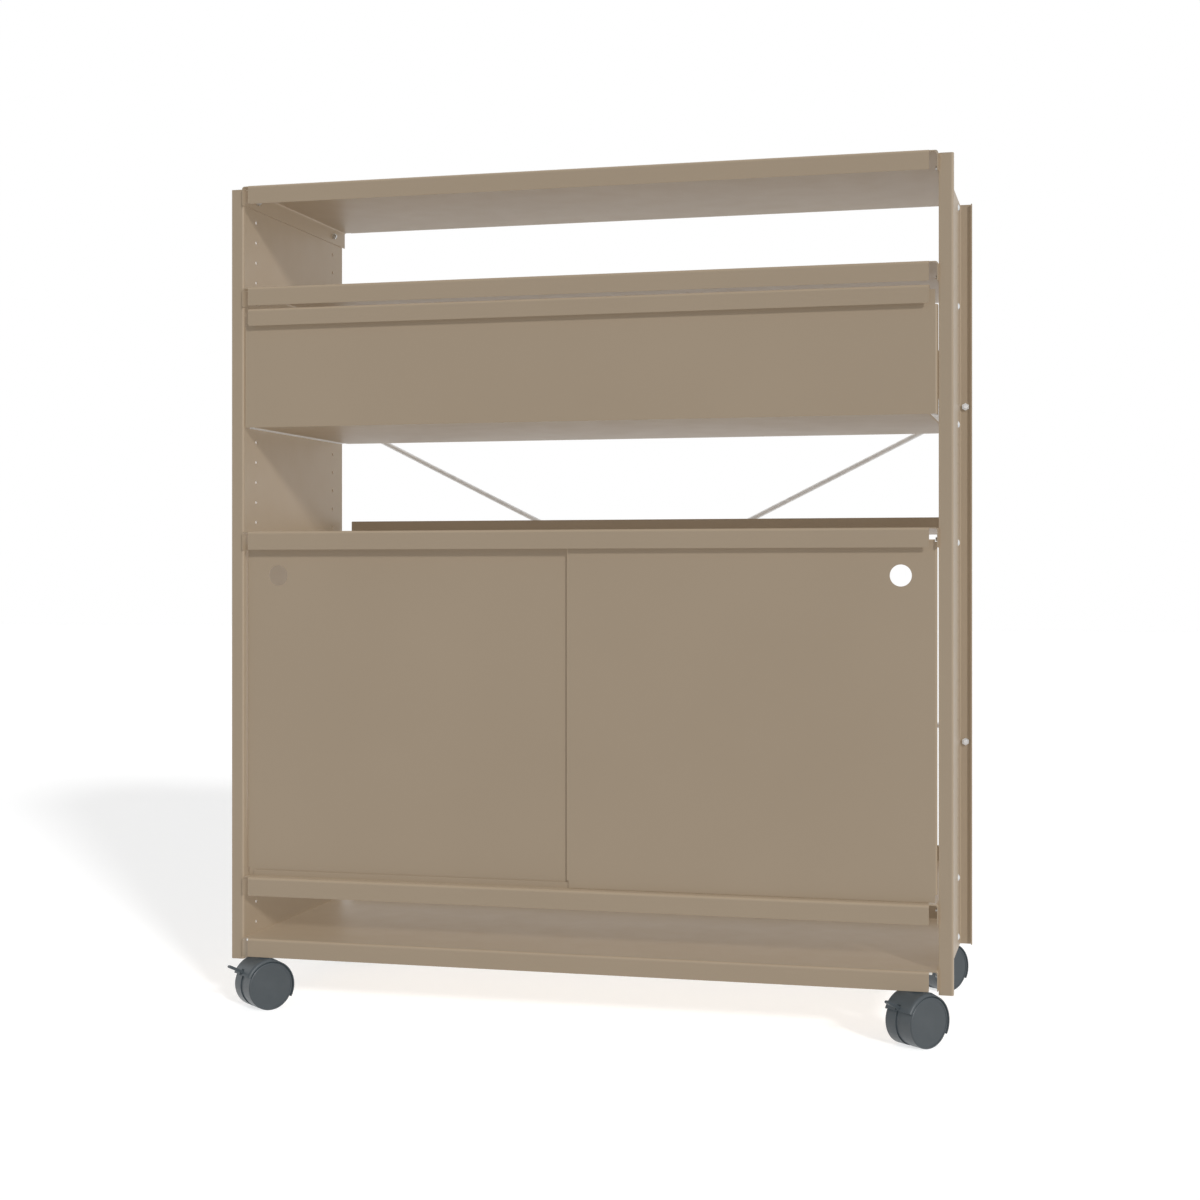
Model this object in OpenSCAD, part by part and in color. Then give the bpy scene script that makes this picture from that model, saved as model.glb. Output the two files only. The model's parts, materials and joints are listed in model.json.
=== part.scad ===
// Tall sideboard on wheels: bolted sheet-metal shelves between two perforated side panels,
// with a wide drawer, two sliding doors, a rod brace behind and four hooded twin-wheel casters.
// The origin is on the floor under the middle, the front looks along -Y, sizes are in millimetres.

/* [Side panels] */
// Clear width between the two panels
clear_width = 1018; // [900:1:1150]
// Depth of a panel from its front flange to its rear flange
panel_depth = 390; // [360:1:430]
// Distance from one bolt hole to the next
hole_pitch = 30; // [28:0.5:32]
// Holes in each row
hole_count = 38; // [38:1:42]
// Height of the lowest hole above the panel's lower edge
hole_to_bottom = 18; // [16:0.5:22]
// Distance from the highest hole to the panel's upper edge
hole_to_top = 12; // [10:0.5:20]
// Distance of each row from the panel's front or rear plane
row_inset = 45; // [38:1:60]
// Bore of the bolt holes
hole_bore = 5.5; // [5.3:0.1:6.5]
// Width of the flanges, seen from the front
flange_width = 20; // [18:0.5:28]
// Depth of the lips at the flanges' outer edges
flange_return = 10; // [8:0.5:14]
// Thickness of the sheet of panels, shelves, doors and drawer front
sheet = 1.5; // [1.2:0.1:2]
// Inside radius of the panels' bends
panel_bend = 1.5; // [1:0.1:2.5]
// Height of the panels' lower edge above the floor
panel_lift = 71; // [71:0.5:80]

/* [Shelves] */
// Hole that carries the second shelf, counted from the lowest hole as 0
hole_upper = 32; // [32:1:33]
// Hole that carries the shelf above the doors
hole_middle = 20; // [19:1:21]
// Hole that carries the shelf under the doors
hole_door_base = 3; // [3:1:4]
// Height of a shelf's plate above its bolts
plate_rise = 15; // [14:0.5:18]
// How far the front lip reaches below the bolts
lip_drop = 12; // [10:0.5:14]
// How far the lips stand in front of and behind the panels
lip_out = 12; // [8:0.5:13]
// Height of the rear lip above the plate
rear_lip = 25.5; // [18:0.5:35]
// Free width between a lip's end and the panel
lip_gap = 12; // [9:0.5:16]
// Depth of the relief notch from the lip's face
notch_depth = 6; // [5.5:0.1:7.5]
// Inside radius of the shelves' bends
shelf_bend = 2.5; // [2:0.1:3]
// Corner radius at a lip's free ends
lip_corner = 1.5; // [1:0.5:5]

/* [Bolts and nuts] */
// Diameter of the shelf bolts
bolt_d = 5; // [4.8:0.1:5.2]
// Diameter of the bolts' button heads
head_d = 10.5; // [9:0.1:11]
// Height of the button heads
head_h = 2.75; // [2.4:0.05:3]
// Width across flats of the bolts' sockets
socket_af = 3; // [2.5:0.1:3.2]
// Width across flats of the shelf nuts
nut_af = 8; // [7.5:0.1:9]
// Thickness of the shelf nuts
nut_h = 4; // [3:0.1:5]
// How far a bolt stands out of its nut
bolt_over = 2; // [1:0.1:3]

/* [Rod brace] */
// Diameter of the brace rods
rod_d = 8; // [7:0.1:8.2]
// Diameter of the rods' threaded ends
rod_end_d = 6; // [5:0.1:6.2]
// Half the height between a rod's two ends
brace_half = 258; // [200:1:300]
// Height of the crossing above the panels' lower edge
brace_centre = 570; // [540:1:600]
// Distance of the nearer rod's axis from the panels' rear plane
brace_off = 26; // [22:0.5:28]
// Gap between the rods where they cross
brace_gap = 0.5; // [0.3:0.1:1.5]
// Bend radius at the rods' ends, on the axis
brace_bend = 14; // [10:0.5:17]
// Width across flats of the brace nuts
brace_nut_af = 10; // [9:0.1:11]
// Thickness of the brace nuts
brace_nut_h = 5; // [4:0.1:6]

/* [Drawer] */
// Hole that carries the drawer's runners
hole_drawer = 26; // [25:1:26]
// Gap between the drawer's grip and the shelf lip above it
grip_gap = 5; // [3:0.5:8]
// Height of the drawer's grip
grip_height = 25; // [20:0.5:32]
// Gap between the drawer front and each panel
front_gap = 1.5; // [1:0.1:3]
// Depth of the drawer front's side returns
front_return = 15; // [8:0.5:18]
// Distance from a panel to the drawer box
slide_space = 12.5; // [12:0.1:14]
// Height of the drawer box
box_height = 105; // [60:1:120]
// Gap between the drawer box and the panels' rear plane
box_rear_gap = 15; // [8:1:25]
// Thickness of the sheet of box, runners and slides
thin_sheet = 1.2; // [1:0.1:1.4]
// Outside radius of the box's bends
box_bend = 3; // [2:0.1:4]
// Width of the box's safe edge
safe_edge = 10; // [7:0.5:14]
// Height of the runners
runner_height = 22; // [20:0.5:26]
// Length of the runners and slides
runner_length = 350; // [320:1:355]
// Gap between runner and slide
runner_fit = 0.3; // [0.2:0.05:0.5]
// How far the runners' bolts reach inward of the runners
runner_bolt_over = 1.3; // [0.5:0.1:1.5]

/* [Sliding doors] */
// Width by which the closed doors overlap
door_overlap = 27; // [20:1:60]
// Gap between a closed door and its panel
door_gap = 2; // [1.8:0.1:3]
// Gap between a door and the shelf under it
door_lift = 1.5; // [1.4:0.1:2.5]
// How far the doors reach up behind the lip above them
door_behind_lip = 11; // [8:0.5:14]
// Depth of a door with its folded edges
door_depth = 4.5; // [4:0.1:5]
// Distance of the front door's face behind the panels' front plane
door_inset = 2; // [1:0.1:4]
// Distance from the front door's face to the rear door's face
door_step = 7; // [6.6:0.1:9]
// Outside radius of the doors' folds
door_bend = 2.5; // [2.1:0.1:3]
// Diameter of the finger holes
finger_d = 30; // [22:1:36]
// Distance of a finger hole's centre from the door's outer and upper edge
finger_inset = 49; // [40:1:70]
// Gap between a door and the walls of the upper track
track_fit = 0.6; // [0.4:0.1:0.8]
// Height of the upper track's walls below the shelf
track_depth = 22.5; // [18:0.5:24]
// Thickness of the upper track's roof
track_roof = 1.5; // [1:0.1:2]
// Free length between the tracks' ends and the panels
track_gap = 14; // [12:0.5:20]
// Height of the lower rail's ribs above the shelf
rib_height = 9; // [7:0.5:11]
// Thickness of the ribs
rib_wall = 1.1; // [0.9:0.1:1.3]
// Thickness of the lower rail's base
rail_base = 1; // [0.8:0.1:1.2]
// Gap between a rib and the glide shoe astride it
shoe_fit = 0.3; // [0.2:0.05:0.4]
// Thickness of a glide shoe's cheeks
shoe_cheek = 1.4; // [1.2:0.1:1.5]
// Length of a glide shoe
shoe_length = 36; // [25:1:50]
// Height of a glide shoe above the rib
shoe_cap = 6; // [4:0.5:10]
// Distance of a shoe's centre from the door's edge
shoe_inset = 40; // [30:1:70]

/* [Casters] */
// Distance of a caster's stem from the panel's inner face
stem_inset = 30; // [30:0.5:60]
// Distance of a caster's stem inside the panels' front or rear plane
stem_setback = 4; // [3:0.5:25]
// Direction of the brake levers, from +X
caster_turn = 230; // [0:5:355]
// Radius of the wheels
wheel_r = 35; // [33:0.5:35]
// Width of one wheel
wheel_w = 20.5; // [17:0.5:20.5]
// Thickness of the web between the two wheels
web_t = 8; // [7.5:0.1:9]
// How far the web's edge stays inside the treads
web_inset = 1.5; // [1.2:0.1:3]
// Gap between a wheel and the web
wheel_gap = 0.6; // [0.4:0.1:0.8]
// Radius of the wheels' outer edge rounding
wheel_round = 2; // [1:0.5:4]
// Thickness of the wheels' tread and disc
wheel_wall = 3; // [2:0.5:4]
// Radius of the wheels' hubs
hub_r = 8; // [6:0.5:10]
// Ribs inside each wheel
wheel_ribs = 6; // [3:1:8]
// Diameter of the axles
axle_d = 6; // [5:0.1:8]
// Radial clearance of the running fits
run_fit = 0.06; // [0.03:0.01:0.1]
// Gap between wheel and hood
hood_gap = 1.2; // [0.8:0.1:1.5]
// Thickness of the hood
hood_wall = 1.5; // [1.2:0.1:1.8]
// Height of the hood's roof above the wheels, on the lever's side
roof_rise = 6; // [6:0.1:6.3]
// Rounding of the roof's shoulders
roof_round = 4.5; // [3:0.5:4.5]
// Lower edge of the hood on the lever's side, as an angle above the axle
roof_start = 25; // [22:1:28]
// Angle at which the roof turns into the straight slope
roof_end = 95; // [92:1:98]
// Lower edge of the hood at the back, as an angle below the axle
fender_end = 29.5; // [15:0.5:32]
// Diameter of the hood's neck
neck_d = 18; // [16:0.5:20]
// Diameter of the stem's pin
pin_d = 8; // [7:0.1:9]
// Height of the stem's collar
collar_h = 2.7; // [2:0.1:4]
// Width across flats of the stem's collar
collar_af = 14; // [12:0.5:17]
// Diameter of the stem's thread
thread_d = 10; // [8:0.1:10.5]
// Width across flats of the weld nut
weld_nut_af = 17; // [15:0.5:19]
// Height of the weld nut
weld_nut_h = 8; // [6:0.5:9]
// Thickness of the caster plate
plate_t = 3; // [2:0.5:4]
// Width of the caster plate
plate_w = 44; // [34:1:52]
// Length of the caster plate
plate_l = 58; // [44:1:80]
// Distance from the stem to the caster plate's outer edge
plate_edge = 11; // [10.5:0.5:11.5]

/* [Brake lever] */
// Distance of the lever's pivot from the stem's axis
pivot_x = 24.6; // [24:0.1:25.5]
// Height of the lever's pivot above the axle
pivot_z = 16.5; // [16:0.1:17.5]
// Rise of the released lever
lever_rise = 26; // [24:0.5:27]
// Swing of the lever when it is pressed down
lever_swing = 15; // [12:0.5:15]
// Length of the lever from its pivot
lever_length = 35; // [28:0.5:35]
// Thickness of the lever
lever_t = 4; // [3.4:0.1:4.2]
// Width of the lever's blade
lever_w = 7; // [6:0.5:7.5]
// Width of the lever's tongue between the web's cheeks
tongue_w = 3; // [2.6:0.1:3.2]
// Gap between the tongue and the web's cheeks
tongue_fit = 0.2; // [0.15:0.05:0.3]
// Diameter of the lever's trunnions
trunnion_d = 3; // [2.6:0.1:3.2]
// Width of the brake shoe across both treads
brake_w = 40; // [32:1:40]
// Gap between brake shoe and tread when released
brake_gap = 1.4; // [1.3:0.1:1.5]
// Thickness of the brake shoe
brake_t = 2.4; // [2:0.1:2.6]

/* [Hidden] */
$fn = 64;
eps = 0.01;
over = 1;
hex = 6;
paint = [0.62, 0.56, 0.48];
zinc = [0.75, 0.76, 0.78];
grey = [0.33, 0.35, 0.36];

// Where the panels and the shelves stand
panel_height = hole_to_bottom + (hole_count - 1) * hole_pitch + hole_to_top;
half_width = clear_width / 2;
half_depth = panel_depth / 2;
row_y = half_depth - row_inset;
panel_out = panel_bend + sheet;
shelf_out = shelf_bend + sheet;
lip_y = half_depth + lip_out;
lip_end = half_width - lip_gap;
lip_height = plate_rise + lip_drop;
side_end = lip_y - notch_depth;
hole_top = hole_count - 1;
shelf_holes = [hole_top, hole_upper, hole_middle, hole_door_base, 0];

// The heads end this far inside the dome's full radius
head_rim = 0.1;

function hole_z(k) = panel_lift + hole_to_bottom + k * hole_pitch;
function plate_z(k) = hole_z(k) + plate_rise;
function across(flats) = flats / cos(30);

// Brace: both rods run between the middles of the rear flanges
brace_half_x = half_width + flange_width / 2;
brace_angle = atan2(brace_half, brace_half_x);
brace_half_length = sqrt(brace_half_x * brace_half_x + brace_half * brace_half);
rod_bore = rod_end_d + 0.5;
thread_fit = 0.05;
rod_end_length = sheet + brace_nut_h + sheet;

// Drawer: from the runners' holes up to the lip of the shelf above
drawer_z = hole_z(hole_drawer) - runner_height / 2;
drawer_top = hole_z(hole_upper) - lip_drop - grip_gap;
grip_z = drawer_top - grip_height;
front_back = sheet - half_depth;
front_x = half_width - front_gap;
front_bend = panel_out;
box_half = half_width - slide_space;
box_end = half_depth - box_rear_gap;
slide_height = runner_height - 2 * (thin_sheet + runner_fit);
slide_depth = slide_space - thin_sheet - runner_bolt_over - runner_fit;
runner_depth = slide_space - thin_sheet - runner_fit;

// Doors: the right one runs in front of the left one
door_width = (clear_width - 2 * door_gap + door_overlap) / 2;
door_z = plate_z(hole_door_base) + door_lift;
door_top = hole_z(hole_middle) - lip_drop + door_behind_lip;
door_y = [door_inset + door_step - half_depth, door_inset - half_depth];
track_z = plate_z(hole_middle) - sheet;
track_wall = door_step - door_depth - 2 * track_fit;
track_half = half_width - track_gap;
rail_z = plate_z(hole_door_base);
rib_top = rail_z + rib_height;
rib_y = sheet + shoe_cheek + shoe_fit;
shoe_depth = 2 * (shoe_cheek + shoe_fit) + rib_wall;
fold_over_rib = 3;
fold_start = rib_height - door_lift + fold_over_rib;
fold_notch = 0.5;
fold_relief = door_bend + fold_notch;

// Casters
stem_x = half_width - stem_inset;
stem_y = half_depth - stem_setback;
mount_z = plate_z(0) - sheet;
web_half = web_t / 2;
wheel_in = web_half + wheel_gap;
hood_cover = 0.1;
hood_half = wheel_in + wheel_w + hood_cover;
fender_in = wheel_r + hood_gap;
fender_out = fender_in + hood_wall;
roof_out = wheel_r + roof_rise;
roof_in = roof_out - hood_wall;
slope_end = roof_end + acos(fender_out / roof_out);
neck_lift = 1;
neck_z = wheel_r * 2 + neck_lift;
stem_seat = mount_z - plate_t - weld_nut_h;
collar_z = stem_seat - collar_h;
pin_gap = 0.3;
neck_top = collar_z - pin_gap;
web_r = wheel_r - web_inset;
axle_end_gap = 0.5;
axle_half = wheel_in + wheel_w - wheel_wall - axle_end_gap;
axle_fit = 0.01;
tongue_wall = 2;
tongue_r = lever_t / 2 + tongue_wall;
trunnion_end_gap = 0.2;
brake_in = wheel_r + brake_gap;
lever_relief = 0.8;
lever_fit = 0.5;
disc_recess = 0.6;
rim_line = 1;
rib_root = 0.5;
rib_reach = wheel_r - wheel_wall - hub_r + 2 * rib_root;

// Angles about the axle: the brake shoe, the roof's window for the blade and the web's cut for the shoe
shoe_from = roof_start + 1.5;
shoe_to = lever_rise + 7;
window_from = roof_start - 3;
window_to = lever_rise + 12;
web_cut_to = lever_rise + 16;
web_end = 180 + fender_end / 2;

// A quarter of a bent sheet's ring, towards one corner
module bend(outer, wall, to_x, to_y) {
    intersection() {
        difference() {
            circle(r = outer);
            circle(r = outer - wall);
        }
        translate([to_x > 0 ? 0 : -outer, to_y > 0 ? 0 : -outer])
            square(outer);
    }
}

// Draws a section in Y and Z and runs it along X between two ends
module along_x(from, to) {
    translate([from, 0, 0])
        rotate([90, 0, 90])
            linear_extrude(height = to - from)
                children();
}

// Draws a section in X and Z and runs it along Y between two ends
module along_y(from, to) {
    translate([0, to, 0])
        rotate([90, 0, 0])
            linear_extrude(height = to - from)
                children();
}

// A straight bore along X through a sheet at one side
module bore_x(d, x, y, z) {
    translate([x, y, z])
        rotate([0, 90, 0])
            cylinder(d = d, h = 2 * over + 2 * panel_out, center = true);
}

// What is cut off to round a free corner of a lip
module corner_cut(r, wall) {
    rotate([90, 0, 0])
        linear_extrude(height = wall + 2 * over, center = true)
            difference() {
                translate([0, -over])
                    square([r + over, r + over]);
                translate([0, r])
                    circle(r = r);
                translate([-r, r])
                    square([r, over]);
            }
}

module panel_section() {
    flat = half_depth - panel_out;
    translate([0, -flat])
        square([sheet, 2 * flat]);
    for (m = [0, 1]) {
        mirror([0, m]) {
            translate([panel_out, -flat])
                bend(panel_out, sheet, -1, -1);
            translate([panel_out, -half_depth])
                square([flange_width - 2 * panel_out, sheet]);
            translate([flange_width - panel_out, -flat])
                bend(panel_out, sheet, 1, -1);
            translate([flange_width - sheet, -flat])
                square([sheet, flange_return - panel_out]);
        }
    }
}

module side_panel() {
    color(paint)
        difference() {
            translate([half_width, 0, panel_lift])
                linear_extrude(height = panel_height)
                    panel_section();
            for (k = [0 : hole_count - 1]) {
                for (s = [-1, 1]) {
                    bore_x(hole_bore, half_width, s * row_y, hole_z(k));
                }
            }
            for (s = [-1, 1]) {
                translate([brace_half_x, half_depth, panel_lift + brace_centre + s * brace_half])
                    rotate([90, 0, 0])
                        cylinder(d = rod_bore, h = 2 * (sheet + over), center = true);
            }
        }
}

module shelf_section() {
    flat = lip_y - shelf_out;
    translate([-flat, -sheet])
        square([2 * flat, sheet]);
    translate([-flat, -shelf_out])
        bend(shelf_out, sheet, -1, 1);
    translate([-lip_y, -lip_height])
        square([sheet, lip_height - shelf_out]);
    translate([flat, shelf_bend])
        bend(shelf_out, sheet, 1, -1);
    translate([lip_y - sheet, shelf_bend])
        square([sheet, rear_lip - shelf_bend]);
}

module shelf_side_section() {
    translate([lip_end - over, -sheet])
        square([half_width - shelf_out - lip_end + over, sheet]);
    translate([half_width - shelf_out, -shelf_out])
        bend(shelf_out, sheet, 1, 1);
    translate([half_width - sheet, -lip_height])
        square([sheet, lip_height - shelf_out]);
}

// One shelf: a plate with a front lip down, a rear lip up and a bolted flange at each side
module shelf(k) {
    color(paint)
        translate([0, 0, plate_z(k)])
            difference() {
                union() {
                    along_x(-lip_end, lip_end)
                        shelf_section();
                    for (m = [0, 1]) {
                        mirror([m, 0, 0])
                            along_y(-side_end, side_end)
                                shelf_side_section();
                    }
                }
                for (m = [0, 1]) {
                    mirror([m, 0, 0]) {
                        for (s = [-1, 1]) {
                            bore_x(hole_bore, half_width, s * row_y, -plate_rise);
                        }
                        translate([lip_end - lip_corner, -lip_y, -lip_height])
                            corner_cut(lip_corner, sheet);
                        translate([lip_end - lip_corner, lip_y, rear_lip])
                            mirror([0, 0, 1])
                                corner_cut(lip_corner, sheet);
                    }
                }
            }
}

// A button head bolt along +X, its head's seat in the plane x = 0 and its shank towards -X
module button_bolt(reach) {
    dome = head_d * head_d / (8 * head_h) + head_h / 2;
    difference() {
        rotate([0, 90, 0])
            union() {
                translate([0, 0, -reach])
                    cylinder(d = bolt_d, h = reach + eps);
                rotate_extrude()
                    intersection() {
                        translate([0, head_h - dome])
                            circle(r = dome);
                        square([head_d / 2 - head_rim, head_h]);
                    }
            }
        translate([head_h / 2, 0, 0])
            rotate([0, 90, 0])
                cylinder(d = across(socket_af), h = head_h, $fn = hex);
    }
}

// A hexagon nut along +X from x = 0, bored for a thread, with its outer corners chamfered
module hex_nut(flats, height, bore) {
    chamfer = (across(flats) - flats) / 2;
    rotate([0, 90, 0])
        difference() {
            intersection() {
                cylinder(d = across(flats), h = height, $fn = hex);
                rotate_extrude()
                    polygon([
                        [0, 0],
                        [flats / 2, 0],
                        [flats / 2 + chamfer, chamfer],
                        [flats / 2 + chamfer, height],
                        [0, height]
                    ]);
            }
            translate([0, 0, -over])
                cylinder(d = bore + 2 * thread_fit, h = height + 2 * over);
        }
}

// Places something at every shelf bolt, at both sides
module at_shelf_bolts(x) {
    for (m = [0, 1]) {
        mirror([m, 0, 0]) {
            for (k = shelf_holes) {
                for (s = [-1, 1]) {
                    translate([x, s * row_y, hole_z(k)])
                        children();
                }
            }
        }
    }
}

module shelf_bolts() {
    color(zinc)
        at_shelf_bolts(half_width + sheet)
            button_bolt(2 * sheet + nut_h + bolt_over);
}

module shelf_nuts() {
    color(zinc)
        at_shelf_bolts(half_width - sheet - nut_h)
            hex_nut(nut_af, nut_h, bolt_d);
}

// A brace rod in its own frame: the long run along X, both ends bent forward along -Y
module brace_rod(off, tilt) {
    run = brace_half_length - brace_bend;
    color(zinc)
        translate([0, half_depth, panel_lift + brace_centre])
            rotate([0, tilt, 0])
                union() {
                    translate([-run, off, 0])
                        rotate([0, 90, 0])
                            cylinder(d = rod_d, h = 2 * run);
                    for (m = [0, 1]) {
                        mirror([m, 0, 0]) {
                            translate([run, off - brace_bend, 0])
                                rotate_extrude(angle = 90)
                                    translate([brace_bend, 0])
                                        circle(d = rod_d);
                            translate([brace_half_length, off - brace_bend, 0])
                                rotate([90, 0, 0])
                                    cylinder(d = rod_d, h = off - brace_bend);
                            translate([brace_half_length, eps, 0])
                                rotate([90, 0, 0])
                                    cylinder(d = rod_end_d, h = rod_end_length + eps);
                        }
                    }
                }
}

module brace_nuts() {
    color(zinc)
        for (m = [0, 1]) {
            for (s = [-1, 1]) {
                mirror([m, 0, 0])
                    translate([brace_half_x, half_depth - sheet, panel_lift + brace_centre + s * brace_half])
                        rotate([0, 0, -90])
                            hex_nut(brace_nut_af, brace_nut_h, rod_end_d);
            }
        }
}

// Upper door track: a roof under the shelf with three walls, one groove for each door
module door_track_top() {
    base = door_y[1] - track_fit - track_wall;
    color(zinc)
        along_x(-track_half, track_half)
            union() {
                translate([base, track_z - track_roof])
                    square([2 * door_step + track_wall, track_roof]);
                for (i = [0, 1, 2]) {
                    translate([base + i * door_step, track_z - track_depth])
                        square([track_wall, track_depth]);
                }
            }
}

// Lower door rail: a thin base on the shelf with one rib behind each door's sheet
module door_rail_bottom() {
    color(zinc)
        along_x(-track_half, track_half)
            union() {
                translate([door_y[1] + sheet + shoe_fit, rail_z])
                    square([door_step + shoe_depth, rail_base]);
                for (y = door_y) {
                    translate([y + rib_y, rail_z])
                        square([rib_wall, rib_height]);
                }
            }
}

// Runner on the right panel: a channel open towards the drawer
module drawer_runner() {
    color(zinc)
        difference() {
            along_y(-runner_length / 2, runner_length / 2)
                translate([half_width - runner_depth, drawer_z])
                    difference() {
                        square([runner_depth, runner_height]);
                        translate([-over, thin_sheet])
                            square([runner_depth - thin_sheet + over, runner_height - 2 * thin_sheet]);
                    }
            for (s = [-1, 1]) {
                bore_x(bolt_d + 2 * thread_fit, half_width, s * row_y, hole_z(hole_drawer));
            }
        }
}

module runner_bolts() {
    color(zinc)
        for (m = [0, 1]) {
            for (s = [-1, 1]) {
                mirror([m, 0, 0])
                    translate([half_width + sheet, s * row_y, hole_z(hole_drawer)])
                        button_bolt(sheet + thin_sheet + runner_bolt_over);
            }
        }
}

// Slide on the box's right side: a channel inside the runner's, open towards the panel
module drawer_slide() {
    color(zinc)
        along_y(-runner_length / 2, runner_length / 2)
            translate([box_half, hole_z(hole_drawer) - slide_height / 2])
                difference() {
                    square([slide_depth, slide_height]);
                    translate([thin_sheet, thin_sheet])
                        square([slide_depth, slide_height - 2 * thin_sheet]);
                }
}

// The drawer's face, folded forward and down at its upper edge into a grip
module grip_section() {
    translate([-half_depth, drawer_z])
        square([sheet, drawer_top - shelf_out - drawer_z]);
    translate([front_back - shelf_out, drawer_top - shelf_out])
        bend(shelf_out, sheet, 1, 1);
    translate([shelf_out - lip_y, drawer_top - sheet])
        square([lip_y - shelf_out + front_back - shelf_out, sheet]);
    translate([shelf_out - lip_y, drawer_top - shelf_out])
        bend(shelf_out, sheet, -1, 1);
    translate([-lip_y, grip_z])
        square([sheet, grip_height - shelf_out]);
}

module front_side_section() {
    translate([lip_end - over, -half_depth])
        square([front_x - front_bend - lip_end + over, sheet]);
    translate([front_x - front_bend, front_bend - half_depth])
        bend(front_bend, sheet, 1, -1);
    translate([front_x - sheet, front_bend - half_depth])
        square([sheet, front_return - front_bend]);
}

module drawer_front() {
    color(paint)
        difference() {
            union() {
                along_x(-lip_end, lip_end)
                    grip_section();
                for (m = [0, 1]) {
                    mirror([m, 0, 0]) {
                        translate([0, 0, drawer_z])
                            linear_extrude(height = grip_z - drawer_z)
                                front_side_section();
                        translate([lip_end - over, -half_depth, grip_z - over])
                            cube([front_x - front_bend - lip_end + over, sheet, grip_height - shelf_out]);
                    }
                }
            }
            for (m = [0, 1]) {
                mirror([m, 0, 0])
                    translate([lip_end - lip_corner * 2, -lip_y, grip_z])
                        corner_cut(lip_corner * 2, sheet);
            }
        }
}

module box_section() {
    flat = box_half - box_bend;
    translate([-flat, 0])
        square([2 * flat, thin_sheet]);
    for (m = [0, 1]) {
        mirror([m, 0]) {
            translate([flat, box_bend])
                bend(box_bend, thin_sheet, 1, -1);
            translate([box_half - thin_sheet, box_bend])
                square([thin_sheet, box_height - 2 * box_bend]);
            translate([flat, box_height - box_bend])
                bend(box_bend, thin_sheet, 1, 1);
            translate([box_half - safe_edge, box_height - thin_sheet])
                square([safe_edge - box_bend, thin_sheet]);
        }
    }
}

// The drawer's box: bottom and sides from one sheet, with a front and a rear wall
module drawer_box() {
    wall_half = box_half - thin_sheet / 2;
    color(paint)
        translate([0, 0, drawer_z])
            union() {
                along_y(front_back, box_end)
                    box_section();
                translate([-wall_half, front_back, thin_sheet / 2])
                    cube([2 * wall_half, thin_sheet, box_height - box_bend]);
                translate([-wall_half, box_end - thin_sheet, thin_sheet / 2])
                    cube([2 * wall_half, thin_sheet, box_height - box_bend]);
                along_x(-wall_half + box_bend, wall_half - box_bend)
                    union() {
                        translate([box_end - box_bend, box_height - box_bend])
                            bend(box_bend, thin_sheet, 1, 1);
                        translate([box_end - safe_edge, box_height - thin_sheet])
                            square([safe_edge - box_bend, thin_sheet]);
                        translate([front_back + box_bend, box_height - box_bend])
                            bend(box_bend, thin_sheet, -1, 1);
                        translate([front_back + box_bend, box_height - thin_sheet])
                            square([safe_edge - box_bend, thin_sheet]);
                    }
            }
}

module door_side_section() {
    translate([door_bend, 0])
        square([door_width - 2 * door_bend, sheet]);
    translate([door_bend, door_bend])
        bend(door_bend, sheet, -1, -1);
    translate([0, door_bend])
        square([sheet, door_depth - door_bend]);
    translate([door_width - door_bend, door_bend])
        bend(door_bend, sheet, 1, -1);
    translate([door_width - sheet, door_bend])
        square([sheet, door_depth - door_bend]);
}

module door_top_section() {
    fold = door_top - door_z;
    translate([0, 0])
        square([sheet, fold - door_bend]);
    translate([door_bend, fold - door_bend])
        bend(door_bend, sheet, -1, 1);
    translate([door_bend, fold - sheet])
        square([door_depth - door_bend, sheet]);
}

// One door from its left edge and front face, with folded edges and a finger hole
module door_panel(hole_x) {
    color(paint)
        difference() {
            union() {
                translate([0, 0, fold_start])
                    linear_extrude(height = door_top - door_z - fold_start - fold_relief)
                        door_side_section();
                along_x(fold_relief, door_width - fold_relief)
                    door_top_section();
            }
            translate([hole_x, sheet / 2, door_top - door_z - finger_inset])
                rotate([90, 0, 0])
                    cylinder(d = finger_d, h = sheet + 2 * over, center = true);
        }
}

// Two glide shoes behind a door's sheet, each astride the rib below
module door_glides() {
    shoe_top = rib_height - door_lift + shoe_cap;
    slot = rib_height - door_lift + shoe_fit;
    color(grey)
        for (x = [shoe_inset, door_width - shoe_inset]) {
            along_x(x - shoe_length / 2, x + shoe_length / 2)
                difference() {
                    translate([sheet, 0])
                        square([shoe_depth, shoe_top]);
                    translate([sheet + shoe_cheek, -over])
                        square([rib_wall + 2 * shoe_fit, slot + over]);
                }
        }
}

module left_door_place() {
    translate([door_gap - half_width, door_y[0], door_z])
        children();
}

module right_door_place() {
    translate([half_width - door_gap - door_width, door_y[1], door_z])
        children();
}

// Places a caster: side and end are -1 or 1
module caster_place(side, end) {
    translate([side * stem_x, end * stem_y, 0])
        rotate([0, 0, caster_turn])
            children();
}

module at_casters() {
    for (side = [-1, 1]) {
        for (end = [-1, 1]) {
            translate([side * stem_x, end * stem_y, 0])
                children();
        }
    }
}

module caster_plates() {
    color(zinc)
        for (side = [-1, 1]) {
            for (end = [-1, 1]) {
                translate([side * stem_x, end * stem_y, mount_z - plate_t])
                    difference() {
                        translate([-plate_w / 2, end > 0 ? plate_edge - plate_l : -plate_edge, 0])
                            cube([plate_w, plate_l, plate_t]);
                        translate([0, 0, -over])
                            cylinder(d = thread_d + 2 * thread_fit, h = plate_t + 2 * over);
                    }
            }
        }
}

module caster_weld_nuts() {
    color(zinc)
        at_casters()
            translate([0, 0, stem_seat])
                rotate([0, -90, 0])
                    hex_nut(weld_nut_af, weld_nut_h, thread_d);
}

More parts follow.
